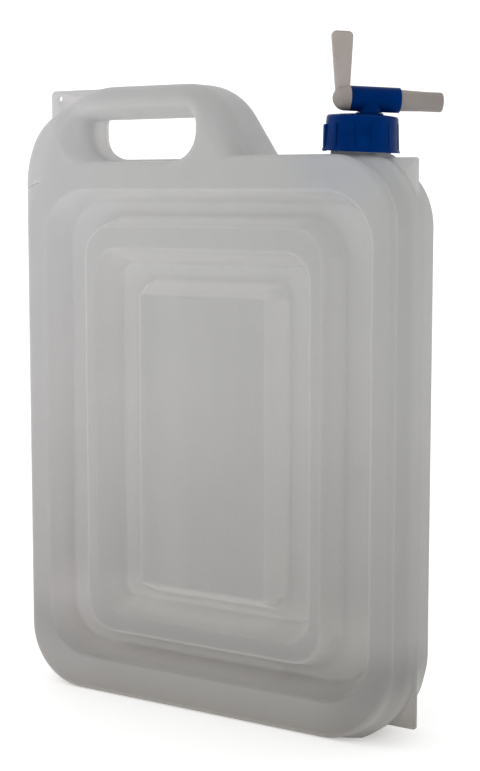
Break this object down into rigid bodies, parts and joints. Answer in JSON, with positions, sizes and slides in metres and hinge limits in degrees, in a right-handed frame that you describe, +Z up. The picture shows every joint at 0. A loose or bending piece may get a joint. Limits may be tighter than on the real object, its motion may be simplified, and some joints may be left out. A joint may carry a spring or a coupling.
{
  "type": "jerry can",
  "caption": "Foldable translucent water jerry can with pleated faces, carry handle, ribbed screw cap and swivelling lever tap.",
  "frame": {"origin": "middle of the flat base, on the plane that the can stands on", "axes": "+Z up the can's height, -Y towards the front pleats, +X towards the neck and tap"},
  "size_m": [0.3423, 0.0724, 0.5126],
  "materials": {
    "can": "milky translucent natural polyethylene, satin blow-moulded skin",
    "cap": "deep blue moulded polypropylene, satin gloss",
    "lever": "off-white moulded polyethylene, satin",
    "gasket": "soft grey flat seal",
    "seal": "black rubber ring"
  },
  "bodies": {
    "can": {"can_body": "can"},
    "gasket": {"cap_gasket": "gasket"},
    "cap": {"screw_cap": "cap"},
    "tap": {"tap_housing": "cap", "stem_o_ring": "seal"},
    "lever": {"lever_spout": "lever", "plug_o_rings": "seal"}
  },
  "joints": [
    {"name": "cap_lift", "type": "slide", "parent": "can", "child": "gasket", "axis": [0.0506, 0, 0.9987], "range_m": [0, 0.0081]},
    {"name": "cap_turn", "type": "hinge", "parent": "gasket", "child": "cap", "pos_m": [0.12131, 0, 0.43998], "axis": [0.0506, 0, 0.9987], "range_deg": [0, 720]},
    {"name": "tap_swivel", "type": "hinge", "parent": "cap", "child": "tap", "pos_m": [0.12751, 0, 0.45369], "axis": [0.0506, 0, 0.9987], "continuous": true},
    {"name": "lever_turn", "type": "hinge", "parent": "tap", "child": "lever", "pos_m": [0.12808, 0, 0.46487], "axis": [0.7422, 0.6691, -0.0376], "range_deg": [-90, 90]}
  ],
  "couplings": [
    {"joint": "cap_lift", "follows": "cap_turn", "m_per_rad": 0.00063662}
  ]
}
